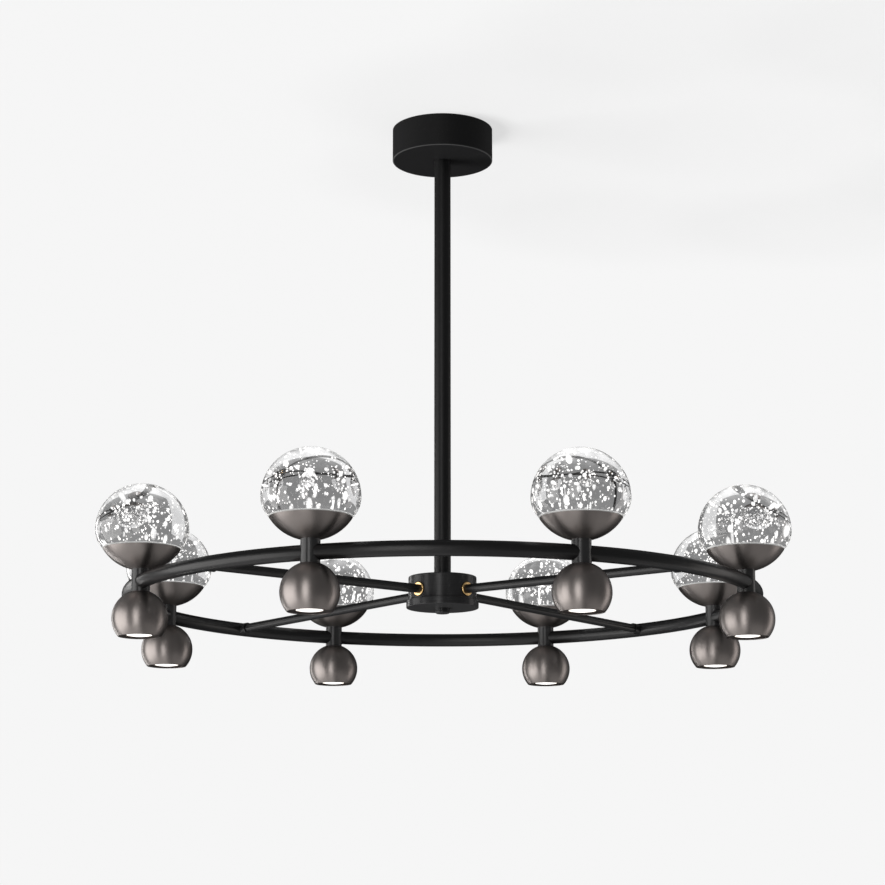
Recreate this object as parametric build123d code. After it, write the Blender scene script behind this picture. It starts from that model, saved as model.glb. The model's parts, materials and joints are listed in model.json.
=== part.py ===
from build123d import *
import os
from math import asin, degrees, hypot, sqrt

# Orb chandelier: a ring of eight crystal-ball lamps under a rod and a ceiling canopy.
# Millimetres. The origin is on the ceiling plane, on the rod's axis, and +Z points up.

# Layout
lamp_count = 8
arm_count = 4
ring_radius = 350.0         # rod axis to the ring tube's centre line
ring_tube_d = 16.0
ring_wall = 1.2
drop = 520.0                # canopy's underside to the ring's plane

# Canopy and the plate behind it
canopy_d = 117.0
canopy_height = 38.0
canopy_wall = 1.2
canopy_edge = 0.8           # rounding of the canopy's lower edge
plate_inset = 4.5           # canopy's inner wall to the plate's rim
plate_thickness = 2.0
plate_rim_height = 10.0
ceiling_hole_d = 5.2
ceiling_hole_spacing = 76.0
side_screw_d = 4.0
side_screw_depth = 6.0      # ceiling plane to the canopy screws' axis
side_nut_d = 8.0
side_nut_length = 3.8

# Swivel between the plate and the rod
housing_d = 26.0
housing_height = 14.0
housing_floor = 6.0
swivel_head_d = 16.0
swivel_head_thickness = 3.5
nipple_d = 10.0             # thread of the swivel stem and the hub nipple
nipple_bore_d = 7.0
stop_pin_d = 2.0
stop_pin_reach = 5.6        # rod axis to the stop pin's tip
stop_lug_width = 3.0
wire_slot_width = 7.0
wire_slot_height = 4.2
housing_screw_count = 4
housing_screw_d = 3.0
housing_screw_head_d = 5.6
housing_screw_length = 9.0
housing_screw_cone = 1.4

# Electrical parts inside the canopy
driver_length = 70.0
driver_width = 22.0
driver_height = 18.0
driver_offset = 25.0        # rod axis to the driver's middle
block_length = 24.0
block_width = 14.0
block_height = 12.0
block_x = -18.0
block_y = -27.0
block_ways = 3
block_hole_d = 3.4
grommet_turn = -54.0        # where the mains cable comes in, round the rod's axis
grommet_inset = 19.6        # plate's rim to the grommet's middle
grommet_d = 14.0            # hole in the plate
grommet_bore_d = 8.0
grommet_flange = 2.0
grommet_lip = 2.0

# Rod
rod_d = 19.0
rod_wall = 1.5
rod_bush_length = 14.0
rod_top_gap = 2.0           # swivel housing to the rod's upper end
cable_d = 6.0

# Hub
hub_d = 77.0
hub_wall = 3.0
hub_top = 26.3              # ring's plane to the hub's top
hub_bottom = -0.4           # ring's plane to the hub's open lower edge
hub_edge = 1.2
hub_nut_flats = 17.0
hub_nut_height = 4.5
cover_d = 81.6
cover_thickness = 8.3
cover_spigot_height = 1.2
cover_spigot_wall = 2.0
cover_edge = 0.8
finial_d = 16.0
finial_height = 6.2
finial_floor = 1.8
finial_edge = 1.6
nipple_window = 12.0        # height of the wire window in the hub nipple
nipple_window_z = 4.0       # ring's plane to the window's lower edge
connector_length = 14.0
connector_width = 16.0
connector_height = 10.0
connector_offset = 19.0     # rod axis to the connector's middle
connector_ways = 3
connector_hole_d = 2.6

# Arms
arm_d = 10.0
arm_wall = 2.0
arm_rise = 10.2             # arm's axis above the ring's plane, on the rod's axis
arm_start = 30.0            # rod axis to the arm's inner end
arm_wire_d = 4.4
ferrule_d = 15.8
ferrule_proud = 1.1         # how far a ferrule stands out of the hub
ferrule_edge = 1.0
ferrule_recess = 1.5        # depth of its recess in the hub's wall
ferrule_margin = 0.65       # recess round the ferrule
arm_nut_flats = 14.0
arm_nut_height = 4.0
collar_d = 12.8
collar_length = 8.0
ring_wire_d = 4.0

# Lamps; heights are counted from the ring's plane
stem_d = 20.0
stem_top = 13.2
stem_bore_d = 5.0
spigot_d = 10.0             # threaded ends of the lamp stem
spigot_length = 6.0         # past the inside of the shell that it holds
lead_d = 2.4
cup_rim_d = 83.0
cup_wall = 1.5
globe_d = 100.0
globe_rise = 56.0           # ring's plane to the ball's centre
globe_flat = 20.0           # ball's centre down to its ground face
globe_belly_r = 29.0        # rounding of the ball's side below its middle
globe_boss_d = 69.2
globe_boss_height = 3.0
bubble_count = 96           # air bubbles in one ball
bubble_small_d = 1.8
bubble_large_d = 4.6
bubble_skin = 2.0           # least crystal round a bubble
gasket_thickness = 0.8
sink_boss_d = 18.0
sink_boss_height = 6.0
sink_d = 44.0
sink_thickness = 3.0
board_d = 38.0
board_thickness = 1.6
chip_count = 6
chip_size = 2.8
chip_height = 0.7
chip_circle_d = 24.0
ball_d = 60.0
ball_drop = 39.3            # ring's plane down to the spot ball's centre
ball_cut = 19.7             # ball's centre down to its open face
ball_wall = 1.5
ball_mouth_d = 42.0
module_neck_d = 16.0
module_neck_height = 12.0
module_d = 40.0
module_recess = 4.4         # open face up to the module
bezel_slope = 1.2
bezel_land = 1.3            # flat ring round the bezel's slope
bezel_step = 0.2            # open face up to the bezel
lens_d = 27.0
lens_rise = 1.5             # dome of the lens

# Clearances
moving_gap = 0.3            # between two bodies at rest
running_gap = 0.08          # swivel neck in its housing
thread_gap = 0.05           # threads and press seats within one body
slip_gap = 0.1              # sleeves and bushes that slide on
rod_hole_gap = 0.4          # rod through the canopy

# Places worked out from the sizes above
canopy_r = canopy_d / 2
canopy_bore_r = canopy_r - canopy_wall
plate_r = canopy_bore_r - plate_inset
grommet_place = Rot(0, 0, grommet_turn) * Pos(plate_r - grommet_inset, 0)
ring_z = -(canopy_height + drop)
tube_r = ring_tube_d / 2
housing_bottom = -(plate_thickness + housing_height)
rod_top = housing_bottom - rod_top_gap
rod_bottom = ring_z + hub_top
rod_bore_r = rod_d / 2 - rod_wall
nipple_r = nipple_d / 2
nipple_bore_r = nipple_bore_d / 2
hub_r = hub_d / 2
hub_bore_r = hub_r - hub_wall
cover_top = hub_bottom - moving_gap
cover_bottom = cover_top - cover_thickness
nipple_bottom = cover_bottom - finial_height + finial_floor + moving_gap
arm_span = hypot(ring_radius, arm_rise)
arm_axis = Plane(origin=(0, 0, ring_z + arm_rise), z_dir=(ring_radius, 0, -arm_rise))
arm_nut_face = sqrt(hub_bore_r**2 - (arm_nut_flats / 2) ** 2) - moving_gap
ferrule_seat = hub_r - ferrule_recess
stem_r = stem_d / 2
ball_r = ball_d / 2
ball_seat = -ball_drop + sqrt(ball_r**2 - stem_r**2)
ball_face = -ball_drop - ball_cut
globe_r = globe_d / 2
globe_face = globe_rise - globe_flat
rim_z = globe_face - moving_gap - gasket_thickness
cup_rim_r = cup_rim_d / 2
cup_centre = (cup_rim_r**2 + rim_z**2 - stem_r**2 - stem_top**2) / (2 * (rim_z - stem_top))
cup_r = hypot(stem_r, cup_centre - stem_top)
cup_floor = stem_top + cup_wall
sink_z = cup_floor + sink_boss_height
board_z = sink_z + sink_thickness
module_z = ball_face + module_recess
module_top = ball_seat - ball_wall
ring_wire_drop = tube_r - ring_wall - ring_wire_d / 2 - moving_gap

lamp_step = 360 / lamp_count
arm_step = 360 / arm_count
lamp_angles = [lamp_step * (i + 0.5) - 90 for i in range(lamp_count)]
arm_angles = [arm_step * (i + 0.5) - 90 for i in range(arm_count)]
stem_gap_angle = degrees(stem_bore_d / 2 / ring_radius)
saddle_angle = degrees(stem_d / ring_radius)

upward = (Align.CENTER, Align.CENTER, Align.MIN)
downward = (Align.CENTER, Align.CENTER, Align.MAX)


def turned(*edges):
    """Solid of revolution about Z. The edges close a loop in radius and height."""
    return revolve(Plane.XZ * make_face(list(edges)), Axis.Z)


def bulge(radius, centre, low, high):
    """Arc of a sphere's outline, whose centre is on the axis, from one height to another."""
    start = degrees(asin((low - centre) / radius))
    end = degrees(asin((high - centre) / radius))
    return CenterArc((0, centre), radius, start, end - start)


def post(radius, low, high):
    """Upright cylinder on the axis, from one height to another."""
    return Pos(0, 0, low) * Cylinder(radius, high - low, align=upward)


def pipe(outer, inner, low, high):
    """Upright tube on the axis."""
    return post(outer, low, high) - post(inner, low, high)


def hexagon_nut(flats, bore, low, high):
    """Hexagon nut on the axis."""
    hexagon = extrude(RegularPolygon(flats / 2, 6, major_radius=False), high - low)
    return Pos(0, 0, low) * hexagon - post(bore, low, high)


def around(shape, angles):
    """Copies of a shape, turned about the rod's axis."""
    return [Rot(0, 0, angle) * shape for angle in angles]


def at_lamps(shape):
    """Copies of a shape drawn about a lamp's axis with the ring's plane at z = 0."""
    return around(Pos(ring_radius, 0, ring_z) * shape, lamp_angles)


def at_arms(shape):
    """Copies of a shape drawn along an arm, whose axis is the shape's own Z."""
    return around(arm_axis * shape, arm_angles)


def bend(radius, start, end):
    """Round bar bent along the ring's centre line, from one angle to another."""
    bar = Torus(ring_radius, radius, major_angle=end - start, align=None)
    return Pos(0, 0, ring_z) * Rot(0, 0, start) * bar


def between_lamps(shape_of):
    """One shape for each stretch of the ring, from a function of its start and end angles."""
    return [shape_of(angle + stem_gap_angle, angle + lamp_step - stem_gap_angle) for angle in lamp_angles]


def mounting_plate():
    """Dished steel plate that screws to the ceiling."""
    plate = post(plate_r, -plate_rim_height, 0)
    plate -= post(plate_r - plate_thickness, -plate_rim_height, -plate_thickness)
    for side in (-1, 1):
        plate -= Pos(side * ceiling_hole_spacing / 2, 0) * post(ceiling_hole_d / 2, -plate_thickness, 0)
    plate -= grommet_place * post(grommet_d / 2, -plate_thickness, 0)
    for place in housing_screw_places():
        plate -= place * housing_screw(slip_gap)
    return plate


def housing_screw_places():
    """Places of the screws that hold the swivel housing under the plate."""
    circle = (housing_d + swivel_head_d) / 4 + moving_gap / 2
    return PolarLocations(circle, housing_screw_count, start_angle=180 / housing_screw_count)


def housing_screw(gap):
    """Countersunk screw, or with a gap the hole for it."""
    shank = housing_screw_d / 2 + gap
    head = housing_screw_head_d / 2 + gap
    return turned(
        Polyline((0, 0), (head, 0), (shank, -housing_screw_cone - gap), (shank, -housing_screw_length - gap)),
        Polyline((shank, -housing_screw_length - gap), (0, -housing_screw_length - gap), (0, 0)),
    )


def swivel_housing():
    """Socket under the plate that the swivel stem hangs and turns in."""
    housing = post(housing_d / 2, housing_bottom, -plate_thickness)
    housing -= post(swivel_head_d / 2 + moving_gap, housing_bottom + housing_floor, -plate_thickness)
    housing -= post(nipple_r + running_gap, housing_bottom, housing_bottom + housing_floor)
    slot = Box(wire_slot_width, housing_d, wire_slot_height, align=(Align.CENTER, Align.MAX, Align.MAX))
    housing -= Pos(0, 0, -plate_thickness) * slot
    housing -= stop_pin(slip_gap)
    for place in housing_screw_places():
        housing -= place * housing_screw(thread_gap)
    return housing


def swivel_head_top():
    """Height of the swivel head's upper face."""
    return housing_bottom + housing_floor + moving_gap + swivel_head_thickness


def stop_pin(gap=0.0):
    """Pin across the housing's wall that the swivel's lug meets at each end of its turn."""
    height = swivel_head_top() + moving_gap + stop_pin_d / 2
    pin = Cylinder(stop_pin_d / 2 + gap, housing_d / 2 - stop_pin_reach, align=upward)
    return Pos(0, stop_pin_reach, height) * Rot(-90, 0, 0) * pin


def swivel_stem():
    """Hollow stem with a head, which hangs in the housing and carries the rod."""
    head_top = swivel_head_top()
    stem = post(swivel_head_d / 2, head_top - swivel_head_thickness, head_top)
    stem += post(nipple_r, rod_top - rod_bush_length, head_top)
    lug_reach = (swivel_head_d - nipple_bore_d) / 2 - 2 * moving_gap
    lug = Box(stop_lug_width, lug_reach, stop_pin_d + moving_gap, align=(Align.CENTER, Align.MAX, Align.MIN))
    stem += Pos(0, -nipple_bore_r - moving_gap, head_top) * lug
    return stem - post(nipple_bore_r, rod_top - rod_bush_length, head_top)


def led_driver():
    """Constant-current supply for the lamps, with its two cable ends."""
    case = Box(driver_length, driver_width, driver_height, align=downward)
    case = fillet(case.edges().filter_by(Axis.Z), 2 * canopy_edge)
    return Pos(0, driver_offset, -plate_thickness) * case


def terminal_block():
    """Screw terminal for the mains wires."""
    block = Box(block_length, block_width, block_height, align=downward)
    pitch = block_length / block_ways
    for x in [pitch * (i - (block_ways - 1) / 2) for i in range(block_ways)]:
        tunnel = Rot(90, 0, 0) * Cylinder(block_hole_d / 2, block_width)
        screw_well = Cylinder(block_hole_d / 2, block_height / 2, align=upward)
        block -= Pos(x, 0, -block_height / 2) * tunnel
        block -= Pos(x, 0, -block_height) * screw_well
    return Pos(block_x, block_y, -plate_thickness) * block


def mains_grommet():
    """Rubber grommet where the mains cable comes through the plate."""
    low = -plate_thickness - grommet_lip
    body = post(grommet_d / 2 - thread_gap, low, 0) + post(grommet_d / 2 + grommet_flange, low, -plate_thickness)
    return grommet_place * (body - post(grommet_bore_d / 2, low, 0))


def side_screw_axes():
    """Planes whose Z runs outwards along the two canopy screws."""
    return [Plane(origin=(0, 0, -side_screw_depth), z_dir=(side, 0, 0)) for side in (-1, 1)]


def canopy():
    """Ceiling cup with the rod's hole in its floor."""
    cup = post(canopy_r, -canopy_height, 0)
    cup = fillet(cup.edges().group_by(Axis.Z)[0], min(canopy_edge, canopy_wall / 2))
    cup -= post(canopy_bore_r, canopy_wall - canopy_height, 0)
    cup -= post(rod_d / 2 + rod_hole_gap, -canopy_height, canopy_wall - canopy_height)
    for axis in side_screw_axes():
        cup -= axis * post(side_screw_d / 2 + slip_gap, canopy_bore_r - canopy_wall, canopy_r)
    return cup


def canopy_nuts():
    """Round nuts inside the canopy's wall."""
    face = sqrt(canopy_bore_r**2 - (side_nut_d / 2) ** 2) - thread_gap
    nut = pipe(side_nut_d / 2, side_screw_d / 2 + thread_gap, face - side_nut_length, face)
    return [axis * nut for axis in side_screw_axes()]


def canopy_screws():
    """Set screws that clamp the canopy to the plate's rim."""
    screw = post(side_screw_d / 2, plate_r + moving_gap, canopy_r)
    slot = Box(side_screw_d, canopy_wall, canopy_wall, align=downward)
    screw -= Pos(0, 0, canopy_r) * slot
    return [axis * screw for axis in side_screw_axes()]


def rod():
    """Tube from the swivel down to the hub."""
    return pipe(rod_d / 2, rod_bore_r, rod_bottom, rod_top)


def rod_cable():
    """Cable inside the rod, from the swivel's head to the hub nipple's window."""
    return post(cable_d / 2, ring_z + nipple_window_z + nipple_window / 2, swivel_head_top())


def rod_bushes():
    """Threaded bushes in the rod's two ends."""
    outer = rod_bore_r - thread_gap
    inner = nipple_r + thread_gap
    return [
        pipe(outer, inner, rod_top - rod_bush_length, rod_top),
        pipe(outer, inner, rod_bottom, rod_bottom + rod_bush_length),
    ]


def hub_body():
    """Round housing that the arms are screwed into, open below."""
    body = post(hub_r, ring_z + hub_bottom, ring_z + hub_top)
    body = fillet(body.edges().group_by(Axis.Z)[-1], min(hub_edge, hub_wall / 2))
    body -= post(hub_bore_r, ring_z + hub_bottom, ring_z + hub_top - hub_wall)
    body -= post(nipple_r + thread_gap, ring_z, ring_z + hub_top)
    for hole in at_arms(post(arm_d / 2 + slip_gap, arm_start, hub_d)):
        body -= hole
    for recess in at_arms(post(ferrule_d / 2 + ferrule_margin, ferrule_seat, hub_d)):
        body -= recess
    return body


def hub_nipple():
    """Hollow threaded tube through the hub, with a window for the wires."""
    top = rod_bottom + rod_bush_length
    nipple = pipe(nipple_r, nipple_bore_r, ring_z + nipple_bottom, top)
    window = Box(nipple_d, nipple_bore_d, nipple_window, align=(Align.MAX, Align.CENTER, Align.MIN))
    return nipple - Pos(0, 0, ring_z + nipple_window_z) * window


def hub_nut():
    """Nut that clamps the hub to the rod."""
    high = ring_z + hub_top - hub_wall
    return hexagon_nut(hub_nut_flats, nipple_r + thread_gap, high - hub_nut_height, high)


def hub_connector():
    """Push-in connector that splits the supply to the arms."""
    body = Box(connector_length, connector_width, connector_height, align=downward)
    pitch = connector_width / connector_ways
    for y in [pitch * (i - (connector_ways - 1) / 2) for i in range(connector_ways)]:
        port = Rot(0, 90, 0) * Cylinder(connector_hole_d / 2, connector_length)
        body -= Pos(0, y, -connector_height / 2) * port
    return Pos(-connector_offset, 0, ring_z + hub_top - hub_wall) * body


def hub_cover():
    """Disc that closes the hub, with a rim that steps up inside its wall."""
    low = ring_z + cover_bottom
    high = ring_z + cover_top
    disc = post(cover_d / 2, low, high)
    disc = fillet(disc.edges().filter_by(GeomType.CIRCLE), min(cover_edge, cover_thickness / 3))
    step = hub_bore_r - moving_gap
    disc += pipe(step, step - cover_spigot_wall, high, high + cover_spigot_height)
    return disc - post(nipple_r + moving_gap, low, high)


def finial():
    """Cap nut that holds the cover up, screwed on the hub nipple's end."""
    high = ring_z + cover_bottom
    low = high - finial_height
    cap = post(finial_d / 2, low, high)
    cap = fillet(cap.edges().group_by(Axis.Z)[0], min(finial_edge, finial_floor))
    return cap - post(nipple_r + slip_gap, low + finial_floor, high)


def saddled(shape):
    """Copies of a shape drawn along an arm, with the ring's round side cut out of its end."""
    return around(arm_axis * shape - bend(tube_r + thread_gap, -saddle_angle, saddle_angle), arm_angles)


def arm():
    """Tube from inside the hub to the ring."""
    return pipe(arm_d / 2, arm_d / 2 - arm_wall, arm_start, arm_span)


def arm_ferrule():
    """Polished ring round an arm, seated in its recess in the hub's wall."""
    high = hub_r + ferrule_proud
    ring = post(ferrule_d / 2, ferrule_seat, high)
    ring = fillet(ring.edges().group_by(Axis.Z)[-1], min(ferrule_edge, (high - ferrule_seat) / 2))
    return ring - post(arm_d / 2 + slip_gap, ferrule_seat, high)


def arm_nut():
    """Nut on an arm's inner end."""
    return hexagon_nut(arm_nut_flats, arm_d / 2 + thread_gap, arm_nut_face - arm_nut_height, arm_nut_face)


def arm_collar():
    """Sleeve where an arm meets the ring."""
    return pipe(collar_d / 2, arm_d / 2 + thread_gap, arm_span - tube_r - collar_length, arm_span)


def ring_segment(start, end):
    """Bent tube from one lamp's stem to the next, with a wire hole where an arm meets it."""
    tube = bend(tube_r, start, end) - bend(tube_r - ring_wall, start, end)
    for hole in at_arms(post(arm_d / 2 - arm_wall, arm_span - ring_tube_d, arm_span)):
        tube -= hole
    return tube


def ring_wire(start, end):
    """Wire that lies along the floor of one ring segment."""
    return Pos(0, 0, -ring_wire_drop) * bend(ring_wire_d / 2, start, end)


def lamp_wiring():
    """Wires in the ring's segments and the arms, and the leads in each lamp's stem."""
    up_lead = post(lead_d / 2, moving_gap, board_z - moving_gap)
    down_lead = post(lead_d / 2, module_top - module_neck_height, -moving_gap)
    arm_wire = post(arm_wire_d / 2, arm_start, arm_span - ring_wire_d)
    return between_lamps(ring_wire) + at_lamps(up_lead) + at_lamps(down_lead) + at_arms(arm_wire)


def lamp_stem():
    """Upright sleeve on the ring with a threaded end for the cup and one for the ball."""
    stem = post(stem_r, ball_seat, stem_top)
    stem += post(spigot_d / 2, module_top - spigot_length, cup_floor + spigot_length)
    stem -= post(stem_bore_d / 2, module_top - spigot_length, cup_floor + spigot_length)
    return stem - Pos(-ring_radius, 0, -ring_z) * bend(tube_r + thread_gap, -saddle_angle, saddle_angle)


def cup():
    """Spun bowl under a ball, with a flat seat for the stem."""
    outer = bulge(cup_r, cup_centre, stem_top, rim_z)
    inner = bulge(cup_r - cup_wall, cup_centre, cup_floor, rim_z)
    hole = spigot_d / 2 + thread_gap
    floor = Polyline(inner @ 0, (hole, cup_floor), (hole, stem_top), outer @ 0)
    return turned(outer, Line(outer @ 1, inner @ 1), inner, floor)


def globe_gasket():
    """Silicone ring on the cup's rim."""
    return pipe(cup_rim_r, globe_boss_d / 2 + moving_gap, rim_z, rim_z + gasket_thickness)


def globe():
    """Solid crystal ball, rounded tighter below its middle, with a ground face, a boss for the cup and bubbles."""
    dome = bulge(globe_r, globe_rise, globe_rise, globe_rise + globe_r)
    cut = degrees(asin(globe_flat / globe_belly_r))
    belly = CenterArc((globe_r - globe_belly_r, globe_rise), globe_belly_r, -cut, cut)
    boss = globe_boss_d / 2
    low = globe_face - globe_boss_height
    base = Polyline(dome @ 1, (0, low), (boss, low), (boss, globe_face), belly @ 0)
    return turned(dome, base, belly) - bubbles()


def bubbles():
    """Air bubbles: even steps of four fractions give each its size, height, distance from the axis and bearing."""
    spheres = []
    for i in range(1, bubble_count + 1):
        radius = (bubble_small_d + (bubble_large_d - bubble_small_d) * (i * 0.618034 % 1) ** 2) / 2
        margin = radius + bubble_skin
        low, high = margin - globe_flat, globe_r - margin
        height = low + (high - low) * (i * 0.7518 % 1) ** 1.15
        reach = sqrt((globe_r - margin) ** 2 - height ** 2)
        if height < 0:
            reach = globe_r - globe_belly_r + sqrt((globe_belly_r - margin) ** 2 - height ** 2)
        distance = reach * sqrt(i * 0.2738 % 1)
        bearing = 360 * (i * 0.847 % 1)
        spheres.append(Rot(0, 0, bearing) * Pos(distance, 0, globe_rise + height) * Sphere(radius))
    return spheres


def uplight_heatsink():
    """Aluminium disc on a threaded boss, which clamps the cup to the stem."""
    sink = post(sink_boss_d / 2, cup_floor, sink_z) + post(sink_d / 2, sink_z, board_z)
    sink -= post(spigot_d / 2 + thread_gap, cup_floor, cup_floor + spigot_length + thread_gap)
    return sink - post(stem_bore_d / 2, cup_floor, board_z)


def uplight_board():
    """Round circuit board with a circle of light-emitting chips."""
    board = post(board_d / 2, board_z, board_z + board_thickness)
    chip = Box(chip_size, chip_size, chip_height, align=upward)
    for place in PolarLocations(chip_circle_d / 2, chip_count):
        board += Pos(0, 0, board_z + board_thickness) * place * chip
    return board


def spot_ball():
    """Spun metal ball, flat where the stem meets it and open below."""
    outer = bulge(ball_r, -ball_drop, ball_face, ball_seat)
    inner = bulge(ball_r - ball_wall, -ball_drop, ball_face + ball_wall, module_top)
    mouth = ball_mouth_d / 2
    hole = spigot_d / 2 + thread_gap
    top = Polyline(outer @ 1, (hole, ball_seat), (hole, module_top), inner @ 1)
    lip = Polyline(inner @ 0, (mouth, ball_face + ball_wall), (mouth, ball_face), outer @ 0)
    return turned(outer, top, inner, lip)


def spot_module():
    """Cast lamp module screwed on the stem's lower end."""
    neck_low = module_top - module_neck_height
    module = post(module_neck_d / 2, neck_low, module_top) + post(module_d / 2, module_z, neck_low)
    module -= post(spigot_d / 2 + thread_gap, module_top - spigot_length - thread_gap, module_top)
    return module - post(stem_bore_d / 2, neck_low, module_top)


def spot_bezel():
    """Sloped ring between the ball's mouth and the lens."""
    low = ball_face + bezel_step
    outer = ball_mouth_d / 2 - slip_gap
    bore = lens_d / 2 + slip_gap
    step = low + bezel_slope
    return turned(
        Polyline((bore, step), (outer - bezel_land, low), (outer, low), (outer, module_z)),
        Polyline((outer, module_z), (bore, module_z), (bore, step)),
    )


def spot_lens():
    """Opal lens with a shallow dome below."""
    edge = ball_face + bezel_step + lens_rise
    radius = ((lens_d / 2) ** 2 + lens_rise**2) / (2 * lens_rise)
    dome = bulge(radius, edge - lens_rise + radius, edge - lens_rise, edge)
    body = Polyline(dome @ 1, (lens_d / 2, module_z), (0, module_z), dome @ 0)
    return turned(dome, body)


def write(name, shapes):
    """Write one node; a list becomes a group of separate solids."""
    shape = Compound(children=shapes) if isinstance(shapes, list) else shapes
    export_step(shape, os.path.join("parts", name + ".step"))


def write_each(name, shapes):
    """Write each shape as a numbered node of its own."""
    for number, shape in enumerate(shapes, 1):
        write(f"{name}_{number}", shape)


os.makedirs("parts", exist_ok=True)
write("mounting_plate", mounting_plate())
write("swivel_housing", swivel_housing())
write("swivel_stop_pin", stop_pin())
write("housing_screws", [place * housing_screw(0) for place in housing_screw_places()])
write("led_driver", led_driver())
write("terminal_block", terminal_block())
write("mains_grommet", mains_grommet())
write("canopy", canopy())
write("canopy_nuts", canopy_nuts())
write("canopy_screws", canopy_screws())
write("swivel_stem", swivel_stem())
write("rod", rod())
write("rod_bushes", rod_bushes())
write("rod_cable", rod_cable())
write("hub_body", hub_body())
write("hub_nipple", hub_nipple())
write("hub_nut", hub_nut())
write("hub_connector", hub_connector())
write("hub_cover", hub_cover())
write("finial", finial())
write_each("arm", saddled(arm()))
write("arm_ferrules", at_arms(arm_ferrule()))
write("arm_nuts", at_arms(arm_nut()))
write("arm_collars", saddled(arm_collar()))
write("ring_segments", between_lamps(ring_segment))
write("lamp_wiring", lamp_wiring())
write("lamp_stems", at_lamps(lamp_stem()))
write_each("cup", at_lamps(cup()))
write("uplight_heatsinks", at_lamps(uplight_heatsink()))
write("uplight_boards", at_lamps(uplight_board()))
write("globe_gaskets", at_lamps(globe_gasket()))
write_each("globe", at_lamps(globe()))
write_each("spot_ball", at_lamps(spot_ball()))
write("spot_modules", at_lamps(spot_module()))
write("spot_bezels", at_lamps(spot_bezel()))
write("spot_lenses", at_lamps(spot_lens()))
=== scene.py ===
"""Orb chandelier: crystal balls, finishes and studio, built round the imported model."""
import json
from math import atan2, cos, degrees, pi, radians, sin, sqrt, tau

import bpy
import numpy as np
from bpy.props import FloatProperty, FloatVectorProperty, IntProperty, PointerProperty
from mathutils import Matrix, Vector

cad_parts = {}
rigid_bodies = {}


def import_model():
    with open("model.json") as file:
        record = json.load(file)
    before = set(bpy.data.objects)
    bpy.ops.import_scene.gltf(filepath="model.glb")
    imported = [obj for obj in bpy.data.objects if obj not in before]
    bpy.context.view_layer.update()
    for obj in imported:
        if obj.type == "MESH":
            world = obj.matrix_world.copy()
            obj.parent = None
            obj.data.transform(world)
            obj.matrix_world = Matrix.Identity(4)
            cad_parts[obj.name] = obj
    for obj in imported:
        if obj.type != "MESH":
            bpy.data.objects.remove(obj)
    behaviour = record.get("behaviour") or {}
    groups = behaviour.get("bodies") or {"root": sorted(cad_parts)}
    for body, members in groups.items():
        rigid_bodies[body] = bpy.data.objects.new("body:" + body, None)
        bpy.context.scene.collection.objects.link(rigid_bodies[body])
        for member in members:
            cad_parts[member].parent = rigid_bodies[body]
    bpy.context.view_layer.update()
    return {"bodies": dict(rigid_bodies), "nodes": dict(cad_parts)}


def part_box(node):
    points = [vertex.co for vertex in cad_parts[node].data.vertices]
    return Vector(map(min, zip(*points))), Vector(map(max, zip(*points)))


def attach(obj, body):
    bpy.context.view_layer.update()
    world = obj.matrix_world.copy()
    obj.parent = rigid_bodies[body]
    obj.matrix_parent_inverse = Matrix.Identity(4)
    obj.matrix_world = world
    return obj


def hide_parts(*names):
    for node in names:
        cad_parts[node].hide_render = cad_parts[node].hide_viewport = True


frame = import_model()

bl_info = {
    "name": "Orb chandelier",
    "version": (1, 0, 0),
    "blender": (4, 5, 0),
    "location": "View3D > Sidebar > Chandelier",
    "description": "Dresses the chandelier's parts and sets up its studio",
    "category": "Object",
}

# What the frame says of the lamps
LAMPS = sorted(int(name.split("_")[1]) for name in frame["bodies"] if name.startswith("globe_"))
LAMP_STEP = tau / len(LAMPS)
BALL_LOW, BALL_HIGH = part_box("globe_1")
BALL_RADIUS = (BALL_HIGH[0] - BALL_LOW[0]) / 2
BALL_HEIGHT = BALL_HIGH[2] - BALL_RADIUS
RIM_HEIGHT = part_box("cup_1")[1][2]


def ball_middle(number):
    """Middle of one crystal ball, in metres."""
    low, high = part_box(f"globe_{number}")
    return np.array(((low[0] + high[0]) / 2, (low[1] + high[1]) / 2, high[2] - BALL_RADIUS))


RING_RADIUS = float(np.hypot(*ball_middle(LAMPS[0])[:2]))


# ---------------------------------------------------------------- settings

def length(name, default, description):
    """A length that the user can change, in metres."""
    return FloatProperty(
        name=name, default=default, description=description, min=0.0, unit="LENGTH", precision=4,
    )


def amount(name, default, description, low=0.0, **more):
    """A plain number that the user can change."""
    return FloatProperty(name=name, default=default, description=description, min=low, **more)


def whole(name, default, description):
    """A whole number that the user can change."""
    return IntProperty(name=name, default=default, description=description, min=0)


def angle(name, default, description):
    """An angle that the user can change; its default is in degrees."""
    return FloatProperty(
        name=name, default=radians(default), description=description, subtype="ANGLE",
    )


def colour(name, default, description):
    """A colour that the user can change."""
    return FloatVectorProperty(
        name=name, default=default, description=description, subtype="COLOR", size=3,
        min=0.0, max=1.0,
    )


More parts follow.
